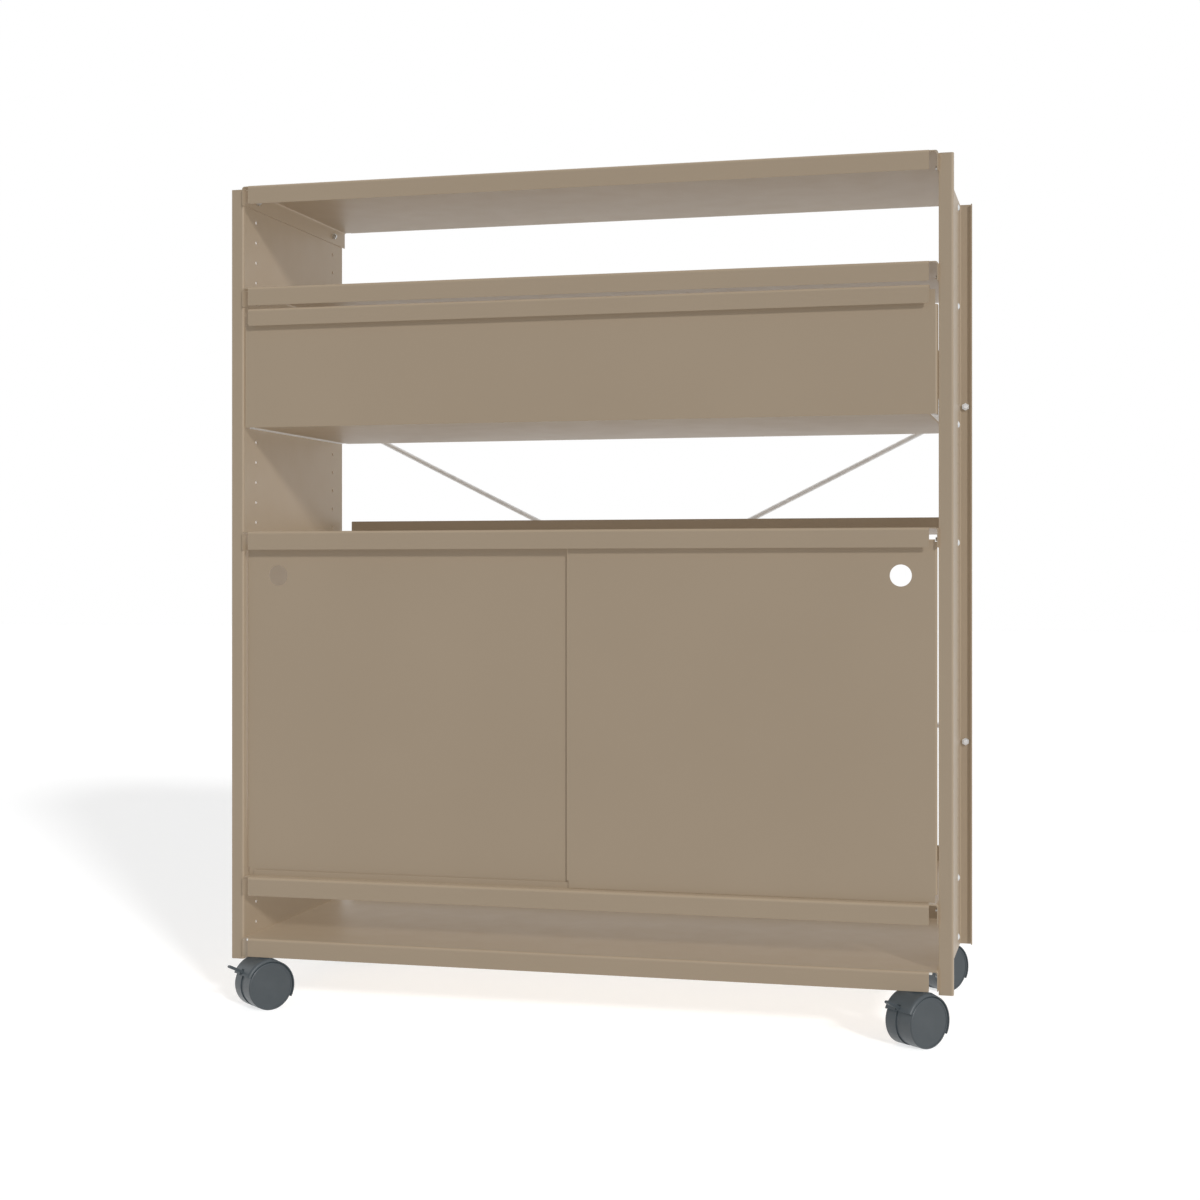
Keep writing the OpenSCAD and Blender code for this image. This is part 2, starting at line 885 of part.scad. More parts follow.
// The stem: a pin in the hood's neck, a hexagon collar and a thread in the weld nut
module caster_stem() {
    tip = 1;
    pin_z = neck_z + hood_wall + pin_gap;
    color(zinc)
        union() {
            translate([0, 0, pin_z + tip])
                cylinder(d = pin_d, h = collar_z - pin_z - tip + eps);
            translate([0, 0, pin_z + eps])
                cylinder(d1 = pin_d - 2 * tip, d2 = pin_d, h = tip);
            translate([0, 0, collar_z])
                cylinder(d = across(collar_af), h = collar_h, $fn = hex);
            translate([0, 0, stem_seat - eps])
                cylinder(d = thread_d, h = mount_z - stem_seat - tip);
            translate([0, 0, mount_z - tip - 2 * eps])
                cylinder(d1 = thread_d, d2 = thread_d - 2 * tip, h = tip);
        }
}

// A wedge about the axle between two angles less than half a turn apart, in X and Z
module wedge(from, to, r) {
    reach = r / cos((to - from) / 2);
    polygon([
        [0, 0],
        [reach * cos(from), reach * sin(from)],
        [reach * cos((from + to) / 2), reach * sin((from + to) / 2)],
        [reach * cos(to), reach * sin(to)]
    ]);
}

// Runs a section in X and Z, drawn about the axle, to both sides of the middle
module about_axle(half) {
    translate([0, 0, wheel_r])
        along_y(-half, half)
            children();
}

// The roof's cross section: radius along X, the axle's direction along Y
module roof_section() {
    flat = hood_half - roof_round;
    translate([roof_in, -flat])
        square([hood_wall, 2 * flat]);
    for (m = [0, 1]) {
        mirror([0, m]) {
            translate([roof_out - roof_round, flat])
                bend(roof_round, hood_wall, 1, 1);
            translate([fender_in, hood_half - hood_wall])
                square([roof_out - roof_round - fender_in, hood_wall]);
        }
    }
}

// The straight slope's plate between the roof and the fender
module slope_plate() {
    polygon([
        [roof_out * cos(roof_end), roof_out * sin(roof_end)],
        [fender_out * cos(slope_end), fender_out * sin(slope_end)],
        [fender_in * cos(slope_end), fender_in * sin(slope_end)],
        [roof_in * cos(roof_end), roof_in * sin(roof_end)]
    ]);
}

// What closes the slope's sides down to the wheels' clearance
module slope_side() {
    difference() {
        polygon([
            [0, 0],
            [roof_out * cos(roof_end), roof_out * sin(roof_end)],
            [fender_out * cos(slope_end), fender_out * sin(slope_end)]
        ]);
        circle(r = fender_in);
    }
}

// What the lever and its swing need, in X and Z about the axle
module lever_sweep(gap) {
    translate([pivot_x, pivot_z]) {
        circle(r = tongue_r + gap);
        for (a = [lever_rise, lever_rise - lever_swing / 2, lever_rise - lever_swing]) {
            rotate(a)
                translate([0, -lever_t / 2 - gap])
                    square([lever_length, lever_t + 2 * gap]);
        }
    }
}

// The web between the wheels, cut back where the lever and its shoe move
module web_outline() {
    difference() {
        intersection() {
            circle(r = roof_in + eps);
            union() {
                wedge(roof_start, roof_end, roof_out);
                intersection() {
                    circle(r = fender_in + eps);
                    wedge(roof_end - over, web_end, roof_out);
                }
                circle(r = web_r);
            }
        }
        difference() {
            wedge(roof_start - over, web_cut_to, roof_out + over);
            circle(r = wheel_r - lever_relief);
        }
    }
}

// The hood: a fender over both wheels, a raised roof over the brake, the web and the neck
module caster_hood() {
    cheek_slot = tongue_w + 2 * tongue_fit;
    color(grey)
        difference() {
            union() {
                about_axle(hood_half)
                    intersection() {
                        difference() {
                            circle(r = fender_out);
                            circle(r = fender_in);
                        }
                        wedge(slope_end, 180 + fender_end, roof_out);
                    }
                about_axle(hood_half)
                    slope_plate();
                for (m = [0, 1]) {
                    mirror([0, m, 0])
                        translate([0, hood_half - hood_wall / 2, 0])
                            about_axle(hood_wall / 2)
                                slope_side();
                }
                translate([0, 0, wheel_r])
                    rotate([90, 0, 0])
                        rotate([0, 0, roof_start])
                            rotate_extrude(angle = roof_end - roof_start)
                                roof_section();
                about_axle(web_half)
                    web_outline();
                about_axle(web_half)
                    slope_side();
                translate([0, 0, neck_z])
                    cylinder(d = neck_d, h = neck_top - neck_z);
            }
            about_axle(cheek_slot / 2)
                lever_sweep(lever_fit);
            about_axle(web_half + eps)
                difference() {
                    wedge(window_from, window_to, roof_out + over);
                    circle(r = roof_in - over);
                }
            translate([pivot_x, 0, wheel_r + pivot_z])
                rotate([90, 0, 0])
                    cylinder(d = trunnion_d + 2 * run_fit, h = web_t + 2 * over, center = true);
            translate([0, 0, wheel_r])
                rotate([90, 0, 0])
                    cylinder(d = axle_d + 2 * axle_fit, h = web_t + 2 * over, center = true);
            translate([0, 0, neck_z + hood_wall])
                cylinder(d = pin_d + 2 * run_fit, h = neck_top);
        }
}

module caster_axle() {
    color(zinc)
        translate([0, 0, wheel_r])
            rotate([90, 0, 0])
                cylinder(d = axle_d, h = 2 * axle_half, center = true);
}

// One wheel: radius along X, distance from the web along Y
module wheel_section() {
    difference() {
        union() {
            square([wheel_r - wheel_round, wheel_w]);
            square([wheel_r, wheel_w - wheel_round]);
            translate([wheel_r - wheel_round, wheel_w - wheel_round])
                circle(r = wheel_round);
        }
        translate([hub_r, -over])
            square([wheel_r - wheel_wall - hub_r, wheel_w - wheel_wall + over]);
        translate([-over, -over])
            square([axle_d / 2 + run_fit + over, wheel_w - wheel_wall + over]);
        translate([-over, wheel_w - disc_recess])
            square([wheel_r - wheel_round - rim_line + over, disc_recess + over]);
    }
}

// A wheel with its open side towards the web, its ribs between hub and tread
module caster_wheel(side) {
    color(grey)
        translate([0, side * wheel_in, wheel_r])
            rotate([side > 0 ? -90 : 90, 0, 0])
                union() {
                    rotate_extrude()
                        wheel_section();
                    for (i = [0 : wheel_ribs - 1]) {
                        rotate([0, 0, i * 360 / wheel_ribs])
                            translate([hub_r - rib_root, -wheel_wall / 4, wheel_gap])
                                cube([rib_reach, wheel_wall / 2, wheel_w - wheel_wall]);
                    }
                }
}

// The brake lever: a tongue with trunnions in the web, a blade and a shoe across both treads
module brake_lever() {
    color(grey)
        union() {
            about_axle(tongue_w / 2)
                translate([pivot_x, pivot_z]) {
                    circle(r = tongue_r);
                    rotate(lever_rise)
                        translate([0, -lever_t / 2])
                            square([lever_length / 2, lever_t]);
                }
            about_axle(lever_w / 2)
                difference() {
                    translate([pivot_x, pivot_z])
                        rotate(lever_rise)
                            union() {
                                translate([0, -lever_t / 2])
                                    square([lever_length - lever_t / 2, lever_t]);
                                translate([lever_length - lever_t / 2, 0])
                                    circle(d = lever_t);
                            }
                    circle(r = brake_in);
                }
            about_axle(brake_w / 2)
                intersection() {
                    difference() {
                        circle(r = brake_in + brake_t);
                        circle(r = brake_in);
                    }
                    wedge(shoe_from, shoe_to, roof_out);
                }
            translate([pivot_x, 0, wheel_r + pivot_z])
                rotate([90, 0, 0])
                    cylinder(d = trunnion_d, h = web_t - 2 * trunnion_end_gap, center = true);
        }
}

mirror([1, 0, 0]) side_panel();  // side_panel_left
side_panel();  // side_panel_right
shelf(hole_top);  // shelf_top
shelf(hole_upper);  // shelf_upper
shelf(hole_middle);  // shelf_middle
shelf(hole_door_base);  // shelf_door_base
shelf(0);  // shelf_bottom
shelf_bolts();
shelf_nuts();
brace_rod(brace_off, brace_angle);  // brace_rod_near
brace_rod(brace_off + rod_d + brace_gap, -brace_angle);  // brace_rod_far
brace_nuts();
door_track_top();
door_rail_bottom();
mirror([1, 0, 0]) drawer_runner();  // drawer_runner_left
drawer_runner();  // drawer_runner_right
runner_bolts();
caster_plates();
caster_weld_nuts();
drawer_front();
drawer_box();
mirror([1, 0, 0]) drawer_slide();  // drawer_slide_left
drawer_slide();  // drawer_slide_right
left_door_place() door_panel(finger_inset);  // door_panel_left
left_door_place() door_glides();  // door_glides_left
right_door_place() door_panel(door_width - finger_inset);  // door_panel_right
right_door_place() door_glides();  // door_glides_right
caster_place(-1, -1) caster_stem();  // caster_stem_fl
caster_place(-1, -1) caster_hood();  // caster_hood_fl
caster_place(-1, -1) caster_axle();  // caster_axle_fl
caster_place(-1, -1) caster_wheel(1);  // caster_wheel_a_fl
caster_place(-1, -1) caster_wheel(-1);  // caster_wheel_b_fl
caster_place(-1, -1) brake_lever();  // brake_lever_fl
caster_place(1, -1) caster_stem();  // caster_stem_fr
caster_place(1, -1) caster_hood();  // caster_hood_fr
caster_place(1, -1) caster_axle();  // caster_axle_fr
caster_place(1, -1) caster_wheel(1);  // caster_wheel_a_fr
caster_place(1, -1) caster_wheel(-1);  // caster_wheel_b_fr
caster_place(1, -1) brake_lever();  // brake_lever_fr
caster_place(-1, 1) caster_stem();  // caster_stem_rl
caster_place(-1, 1) caster_hood();  // caster_hood_rl
caster_place(-1, 1) caster_axle();  // caster_axle_rl
caster_place(-1, 1) caster_wheel(1);  // caster_wheel_a_rl
caster_place(-1, 1) caster_wheel(-1);  // caster_wheel_b_rl
caster_place(-1, 1) brake_lever();  // brake_lever_rl
caster_place(1, 1) caster_stem();  // caster_stem_rr
caster_place(1, 1) caster_hood();  // caster_hood_rr
caster_place(1, 1) caster_axle();  // caster_axle_rr
caster_place(1, 1) caster_wheel(1);  // caster_wheel_a_rr
caster_place(1, 1) caster_wheel(-1);  // caster_wheel_b_rr
caster_place(1, 1) brake_lever();  // brake_lever_rr
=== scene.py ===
# %% [markdown]
# # A tall sheet-metal sideboard on wheels
#
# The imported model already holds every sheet, bolt, rod and wheel at its real place, so no
# part is moved here. This lesson dresses it. It sets up the camera and a plain studio, gives
# every part the finish of the real one, and adds the threads, rivets and ribs that the plain
# solids leave out. Blender works in metres, so small sizes are millimetres times MM.

import json
import math

import bpy
import numpy as np
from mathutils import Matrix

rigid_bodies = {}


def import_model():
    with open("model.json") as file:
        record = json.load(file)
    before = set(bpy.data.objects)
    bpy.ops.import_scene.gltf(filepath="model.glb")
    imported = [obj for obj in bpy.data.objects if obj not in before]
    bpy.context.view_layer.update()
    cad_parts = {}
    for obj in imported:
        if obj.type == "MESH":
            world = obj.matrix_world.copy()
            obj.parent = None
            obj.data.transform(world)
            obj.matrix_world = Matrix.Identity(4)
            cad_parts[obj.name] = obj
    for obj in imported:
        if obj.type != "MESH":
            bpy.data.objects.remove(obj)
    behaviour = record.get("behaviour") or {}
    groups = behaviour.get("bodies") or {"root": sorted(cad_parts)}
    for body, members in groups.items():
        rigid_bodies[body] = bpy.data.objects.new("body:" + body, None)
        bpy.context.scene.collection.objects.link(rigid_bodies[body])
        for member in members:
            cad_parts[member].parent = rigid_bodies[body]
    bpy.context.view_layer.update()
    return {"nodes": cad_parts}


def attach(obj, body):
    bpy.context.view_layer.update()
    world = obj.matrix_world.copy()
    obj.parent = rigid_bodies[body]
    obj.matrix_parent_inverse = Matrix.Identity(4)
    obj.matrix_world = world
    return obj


for leftover in list(bpy.data.objects):
    bpy.data.objects.remove(leftover)

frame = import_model()
nodes = frame["nodes"]
MM = 0.001

# %% [markdown]
# ## Camera
#
# The photograph was taken from the front right at about half the sideboard's height. The
# upright edges are parallel in it, so the camera looks level, and the picture was shifted
# instead of tilted. A shift keeps the uprights parallel where a tilt would lean them.

# %% Camera
CAMERA_PLACE = (0.727, -2.884, 0.639)
CAMERA_TURN = math.radians(14.41)
SENSOR_WIDTH, FOCAL_LENGTH = 36, 58.95
PICTURE_SIDE = 1200
HORIZON_BELOW_TOP = 575.5

camera = bpy.data.objects.new("camera", bpy.data.cameras.new("camera"))
camera.location = CAMERA_PLACE
camera.rotation_euler = (math.radians(90), 0, CAMERA_TURN)
camera.data.sensor_width = SENSOR_WIDTH
camera.data.lens = FOCAL_LENGTH
camera.data.shift_y = (HORIZON_BELOW_TOP - PICTURE_SIDE / 2) / PICTURE_SIDE
bpy.context.scene.collection.objects.link(camera)
bpy.context.scene.camera = camera
print("camera shift:", round(camera.data.shift_y, 4))

# %% [markdown]
# ## Surfaces from arrays
#
# Every new shape in this lesson is a grid of points worked out with numpy. One helper turns
# such a grid into a mesh. It can close the grid around, so that a tube has no seam, and then
# it closes the tube's two ends with a flat face each.

# %% Grid helper
def grid_faces(rows, cols, around):
    """Quads between neighbours of a grid; with around, the last column joins the first."""
    steps = cols if around else cols - 1
    i, j = np.meshgrid(np.arange(rows - 1), np.arange(steps), indexing="ij")
    k = (j + 1) % cols
    corners = (i * cols + j, i * cols + k, (i + 1) * cols + k, (i + 1) * cols + j)
    return np.stack(corners, -1).reshape(-1, 4)


def surface(name, grids, around=True):
    """One mesh from several grids of points, each of shape (rows, columns, 3). With around,
    each grid is a tube, and its first and last rows are closed."""
    points, faces, start = [], [], 0
    for grid in grids:
        rows, cols = grid.shape[:2]
        points.append(grid.reshape(-1, 3))
        faces += (grid_faces(rows, cols, around) + start).tolist()
        if around:
            faces.append([start + j for j in reversed(range(cols))])
            faces.append([start + (rows - 1) * cols + j for j in range(cols)])
        start += rows * cols
    mesh = bpy.data.meshes.new(name)
    mesh.from_pydata(np.concatenate(points).tolist(), [], faces)
    mesh.validate()
    mesh.polygons.foreach_set("use_smooth", [len(f) == 4 for f in faces])
    piece = bpy.data.objects.new(name, mesh)
    bpy.context.scene.collection.objects.link(piece)
    return piece


# %% [markdown]
# ## Shader helpers
#
# Finishes are built from shader nodes. They could be clicked together in the shader editor,
# but two short helpers make a node with its values filled in and join outputs to inputs, so
# each finish below reads as a list of what it mixes.

# %% Shader helpers
def node(tree, kind, **values):
    """A new shader node. A value goes to the input of its name, or else to that setting."""
    made = tree.nodes.new(kind)
    for key, value in values.items():
        socket = key.replace("_", " ").title()
        if socket in made.inputs:
            made.inputs[socket].default_value = value
        else:
            setattr(made, key, value)
    return made


def join(tree, *links):
    """Joins pairs of (output, input)."""
    for output, target in links:
        tree.links.new(output, target)


# %% [markdown]
# ## Floor
#
# The sideboard stands on a pale floor in a white studio. A single pale material could do,
# but more light would be needed to make it white, and that light would bleach the sheet. So
# the floor has two sides. It throws light back up at the undersides as any grey floor does,
# and what the camera sees of it is a white that is partly its own glow, so that it reads as
# white and still keeps a soft shadow.

# %% Floor
WHITE = (1, 1, 1, 1)
BOUNCE_GREY = (0.5, 0.5, 0.5, 1)
FLOOR_GLOW = 0.09
FLOOR_SIDE = 40.0

floor_ends = np.array([-FLOOR_SIDE / 2, FLOOR_SIDE / 2])
floor_x, floor_y = np.meshgrid(floor_ends, floor_ends)
floor_points = np.dstack([floor_x, floor_y, np.zeros_like(floor_x)])
floor = surface("studio_floor", [floor_points], around=False)

floor_finish = bpy.data.materials.new("pale_floor")
floor_finish.use_nodes = True
tree = floor_finish.node_tree
tree.nodes.clear()
rays = node(tree, "ShaderNodeLightPath")
seen = node(tree, "ShaderNodeMath", operation="MAXIMUM")
seen_glow = node(tree, "ShaderNodeEmission", Color=WHITE, Strength=FLOOR_GLOW)
seen_floor = node(tree, "ShaderNodeBsdfDiffuse", Color=WHITE)
seen_both = node(tree, "ShaderNodeAddShader")
bounce = node(tree, "ShaderNodeBsdfDiffuse", Color=BOUNCE_GREY)
choose = node(tree, "ShaderNodeMixShader")
output = node(tree, "ShaderNodeOutputMaterial")
join(tree,
     (rays.outputs["Is Camera Ray"], seen.inputs[0]),
     (rays.outputs["Is Glossy Ray"], seen.inputs[1]),
     (seen.outputs[0], choose.inputs[0]),
     (bounce.outputs[0], choose.inputs[1]),
     (seen_glow.outputs[0], seen_both.inputs[0]),
     (seen_floor.outputs[0], seen_both.inputs[1]),
     (seen_both.outputs[0], choose.inputs[2]),
     (choose.outputs[0], output.inputs["Surface"]))
floor.data.materials.append(floor_finish)
print("floor side:", FLOOR_SIDE)

# %% [markdown]
# ## Surroundings
#
# The world is the white room round the sideboard. It is white where it is looked at or
# mirrored, and much dimmer where it lights the sheet, because the lamps do that.

# %% World
WORLD_LIGHT, WORLD_SEEN = 0.18, 1.0

world = bpy.data.worlds.new("white_studio")
bpy.context.scene.world = world
world.use_nodes = True
tree = world.node_tree
tree.nodes.clear()
rays = node(tree, "ShaderNodeLightPath")
looked_at = node(tree, "ShaderNodeMath", operation="MAXIMUM")
mirrored = node(tree, "ShaderNodeMath", operation="MAXIMUM")
strength = node(tree, "ShaderNodeMapRange", To_Min=WORLD_LIGHT, To_Max=WORLD_SEEN)
light = node(tree, "ShaderNodeBackground", Color=WHITE)
output = node(tree, "ShaderNodeOutputWorld")
join(tree,
     (rays.outputs["Is Glossy Ray"], mirrored.inputs[0]),
     (rays.outputs["Is Transmission Ray"], mirrored.inputs[1]),
     (rays.outputs["Is Camera Ray"], looked_at.inputs[0]),
     (mirrored.outputs[0], looked_at.inputs[1]),
     (looked_at.outputs[0], strength.inputs["Value"]),
     (strength.outputs[0], light.inputs["Strength"]),
     (light.outputs[0], output.inputs["Surface"]))
bpy.context.scene.view_settings.view_transform = "Standard"
print("world light:", WORLD_LIGHT)

# %% [markdown]
# ## Lamps
#
# In the photograph one lamp stands to the right of the camera, a little above the sideboard.
# It draws the slanting soft shadow on the left panel's inner side: its slope and its reach
# give the lamp's direction, 36 degrees to the right and 22 degrees up. The rest is lit almost
# evenly, even the undersides deep in the bays, as in a white room with reflectors all round.
# Large area lamps could do that, but they would have to stand inside the picture. One weak
# sun from each side does it as well, and those cast no shadows.

# %% Lamps
FILL_ANGLE = 10


def sun(name, turn, level, shadow_angle=None):
    """A light along its own -Z after the turn, in degrees; level 1 shows a facing colour as
    it is written. Only with a shadow angle does it cast shadows and show as a highlight."""
    lamp = bpy.data.objects.new(name, bpy.data.lights.new(name, "SUN"))
    lamp.rotation_euler = [math.radians(v) for v in turn]
    lamp.data.energy = level * math.pi
    lamp.data.use_shadow = shadow_angle is not None
    lamp.visible_glossy = shadow_angle is not None
    lamp.data.angle = math.radians(shadow_angle or FILL_ANGLE)
    bpy.context.scene.collection.objects.link(lamp)


KEY_UP, KEY_RIGHT, KEY_LEVEL, KEY_ANGLE = 21.9, 36.4, 0.46, 6
FILLS = {
    "front": ((90, 0, 0), 0.24),
    "behind": ((90, 0, 180), 0.58),
    "right": ((90, 0, 90), 0.44),
    "left": ((90, 0, -90), 0.58),
    "above": ((0, 0, 0), 0.56),
    "below": ((180, 0, 0), 0.29),
}
sun("key_from_front_right", (90 - KEY_UP, 0, KEY_RIGHT), KEY_LEVEL, KEY_ANGLE)
for side_name, (turn, level) in FILLS.items():
    sun(f"fill_{side_name}", turn, level)

# %% [markdown]
# ## Noise on the parts' own coordinates
#
# No finish on the sideboard is perfectly even. Each one below drifts between two close tones
# and between two grades of gloss. Painted images could carry that, but every sheet would have
# to be unwrapped for them and would show seams. Noise needs neither. It reads the object's
# own coordinates, so it stays put on a part when a door or a caster moves.

# %% Finish helpers
NOISE_LOW, NOISE_HIGH = 0.3, 0.7


def new_finish(name, **values):
    """A material with one Principled shader; what is the same all over is set on its sockets."""
    finish = bpy.data.materials.new(name)
    finish.use_nodes = True
    shader = finish.node_tree.nodes["Principled BSDF"]
    for key, value in values.items():
        shader.inputs[key.replace("_", " ")].default_value = value
    return finish, finish.node_tree, shader


def own_place(tree, centre=(0, 0, 0), turn=(0, 0, 0), scale=(1, 1, 1)):
    """The object's own coordinates, centred, turned and stretched by a Mapping node."""
    where = node(tree, "ShaderNodeTexCoord")
    mapping = node(tree, "ShaderNodeMapping", vector_type="TEXTURE",
                   Location=centre, Rotation=turn, Scale=scale)
    join(tree, (where.outputs["Object"], mapping.inputs["Vector"]))
    return mapping.outputs[0]


def noise(tree, vector, scale, detail):
    """A noise of about 1/scale metres on a vector output."""
    made = node(tree, "ShaderNodeTexNoise", Scale=scale, Detail=detail, Roughness=0.5)
    join(tree, (vector, made.inputs["Vector"]))
    return made.outputs[0]


def spread(tree, value, low, high):
    """Maps a noise output in a straight line from its usual span to low..high."""
    span = node(tree, "ShaderNodeMapRange", From_Min=NOISE_LOW, From_Max=NOISE_HIGH,
                To_Min=low, To_Max=high)
    join(tree, (value, span.inputs["Value"]))
    return span.outputs["Result"]


# %% [markdown]
# ## Tone, gloss and relief
#
# With these noises one helper sets the tone and the gloss of a finish, and another its
# relief. A part gets its finish in place of the plain one that it comes with.

# %% Tone, gloss and relief
def tones(tree, factor, dark, light):
    """Mixes two colours by a factor output and returns the colour output."""
    mix = tree.nodes.new("ShaderNodeMix")
    mix.data_type = "RGBA"
    mix.inputs[6].default_value = (*dark, 1)
    mix.inputs[7].default_value = (*light, 1)
    join(tree, (factor, mix.inputs[0]))
    return mix.outputs[2]


def vary(tree, shader, patches, dark, light, grain, smooth, rough):
    """The colour goes from dark to light with the noise called patches, and the roughness
    from smooth to rough with the noise called grain."""
    join(tree,
         (tones(tree, spread(tree, patches, 0, 1), dark, light), shader.inputs["Base Color"]),
         (spread(tree, grain, smooth, rough), shader.inputs["Roughness"]))


def relief(tree, shader, height, depth, strength):
    """Bumps the shader by a height output, depth metres deep."""
    bump = node(tree, "ShaderNodeBump", Strength=strength, Distance=depth)
    join(tree, (height, bump.inputs["Height"]), (bump.outputs[0], shader.inputs["Normal"]))


def named(*beginnings):
    """The CAD parts whose names start with any of these words."""
    return sorted(n for n in nodes if n.startswith(beginnings))


def dress(names, finish):
    """Gives CAD parts a finish, in place of the plain one they came with."""
    for name in names:
        for slot in nodes[name].material_slots:
            slot.material = finish


# %% [markdown]
# ## Powder coat
#
# The panels, shelves, drawer and doors are sheet steel with a baked powder coat in a grey
# beige. Powder melts into a film that isn't quite level: it has a fine orange peel that is
# only felt in the highlights, and its gloss drifts a little across a wide sheet. The peel
# could be modelled, but it is a few hundredths of a millimetre deep, so a bump will do.
# Nothing on the coat is printed or drawn.

# %% Powder coat
COAT_LOW, COAT_HIGH = (0.300, 0.236, 0.166), (0.312, 0.246, 0.174)

powder_coat, tree, shader = new_finish("grey_beige_powder_coat", Roughness=0.45, IOR=1.5)
place = own_place(tree)
vary(tree, shader,
     patches=noise(tree, place, scale=3.5, detail=3), dark=COAT_LOW, light=COAT_HIGH,
     grain=noise(tree, place, scale=24, detail=4), smooth=0.43, rough=0.47)
orange_peel = noise(tree, place, scale=650, detail=1)
relief(tree, shader, orange_peel, depth=0.04 * MM, strength=0.35)

coated = named("side_panel", "shelf_top", "shelf_upper", "shelf_middle", "shelf_door_base",
               "shelf_bottom", "drawer_front", "drawer_box", "door_panel", "door_track_top",
               "door_rail_bottom")
dress(coated, powder_coat)
print("coated parts:", len(coated))

# %% [markdown]
# ## Zinc-plated hardware
#
# Bolts, nuts, plates, stems and axles are bright zinc-plated steel. Plating is a metal that
# mirrors the room through a fine haze, with faint bluish and straw-coloured patches. A plain
# grey metal would look like polished steel, so a coarse noise makes the patches and two finer
# ones make the haze.

# %% Zinc plating
BLUISH_ZINC, STRAW_ZINC = (0.63, 0.66, 0.70), (0.74, 0.73, 0.69)

zinc_plating, tree, shader = new_finish("bright_zinc_plating", Metallic=1.0)
place = own_place(tree)
vary(tree, shader,
     patches=noise(tree, place, scale=160, detail=3), dark=BLUISH_ZINC, light=STRAW_ZINC,
     grain=noise(tree, place, scale=900, detail=2), smooth=0.34, rough=0.48)
haze = noise(tree, place, scale=2600, detail=1)
relief(tree, shader, haze, depth=0.02 * MM, strength=0.3)

plated = named("shelf_bolts", "shelf_nuts", "brace_nuts", "runner_bolts", "caster_plates",
               "caster_weld_nuts", "caster_stem", "caster_axle")
dress(plated, zinc_plating)
print("plated parts:", len(plated))

# %% [markdown]
# ## Galvanised rods and slides
#
# The brace rods are drawn from galvanised steel, and the drawer's runners and slides are
# rolled from it. Drawing leaves fine lines along a part, made here as a noise stretched
# along the part's own length. Zinc that has stood in the air is a pale grey skin that mirrors
# little, so the finish is only partly a metal.

# %% Galvanised steel
GREY_ZINC = np.array([0.68, 0.685, 0.69])
ROD_END_X, ROD_RISE, ROD_CROSSING_Z = 519, 258, 641


def drawn_steel(name, turn, stretch):
    """Dull zinc with lines along the X axis after a turn; stretch is how long they are."""
    finish, tree, shader = new_finish(name, Metallic=0.3)
    along = own_place(tree, turn=turn, scale=(stretch, 1, 1))
    lines = noise(tree, along, scale=700, detail=3)
    vary(tree, shader,
         patches=noise(tree, own_place(tree), scale=110, detail=4),
         dark=GREY_ZINC * 0.92, light=GREY_ZINC * 1.08,
         grain=lines, smooth=0.34, rough=0.52)
    relief(tree, shader, lines, depth=0.03 * MM, strength=0.4)
    return finish


brace_angle = math.atan2(ROD_RISE, ROD_END_X)
slide_turn = (0, 0, math.radians(90))
dress(["brace_rod_near"], drawn_steel("drawn_rod_near", (0, brace_angle, 0), stretch=60))
dress(["brace_rod_far"], drawn_steel("drawn_rod_far", (0, -brace_angle, 0), stretch=60))
slides = named("drawer_runner", "drawer_slide")
dress(slides, drawn_steel("rolled_slide", slide_turn, stretch=40))
print("brace angle:", round(math.degrees(brace_angle), 2), "runners and slides:", len(slides))

# %% [markdown]
# ## Hoods and levers
#
# The casters' hoods, levers and wheels are moulded in a dark blue grey. A hood comes from a
# spark-eroded mould and has a fine matt grain, and so has a brake lever. The same noise makes
# the grain's relief and its gloss, so that the two agree spot by spot.

# %% Caster plastic
PLASTIC_LOW, PLASTIC_HIGH = (0.038, 0.047, 0.053), (0.045, 0.054, 0.060)

caster_plastic, tree, shader = new_finish("grained_caster_plastic", IOR=1.5)
place = own_place(tree)
grain = noise(tree, place, scale=1900, detail=2)
vary(tree, shader,
     patches=noise(tree, place, scale=45, detail=3), dark=PLASTIC_LOW, light=PLASTIC_HIGH,
     grain=grain, smooth=0.36, rough=0.5)
relief(tree, shader, grain, depth=0.04 * MM, strength=0.4)

grained = named("caster_hood", "brake_lever")
dress(grained, caster_plastic)
print("grained parts:", len(grained))

# %% [markdown]
# ## Wheels
#
# A wheel's disc comes from a turned mould, so faint rings run about its axle. They could be
# cut into the disc, but they are far finer than its mesh. The distance from the axle is
# measured in a plane that a Mapping node puts square to it, and a sine of that distance gives
# the rings. Each caster has its own place, so each gets its own copy of the finish.

# %% Wheel plastic
STEMS = {"fl": (-479, -191), "fr": (479, -191), "rl": (-479, 191), "rr": (479, 191)}
CASTER_TURN = math.radians(230)
AXLE_TURN = CASTER_TURN - math.radians(270)
AXLE_HEIGHT = 35 * MM
RING_PITCH = 1.1 * MM


def axle_rings(tree, place):
    """A wave over the distance from the X axis: the sine of 2 pi times it over the pitch."""
    flat = node(tree, "ShaderNodeVectorMath", operation="MULTIPLY")
    flat.inputs[1].default_value = (0, 1, 1)
    reach = node(tree, "ShaderNodeVectorMath", operation="LENGTH")
    ring = node(tree, "ShaderNodeMath", operation="MULTIPLY")
    ring.inputs[1].default_value = 2 * math.pi / RING_PITCH
    wave = node(tree, "ShaderNodeMath", operation="SINE")
    join(tree,
         (place, flat.inputs[0]),
         (flat.outputs[0], reach.inputs[0]),
         (reach.outputs["Value"], ring.inputs[0]),
         (ring.outputs[0], wave.inputs[0]))
    return wave.outputs[0]


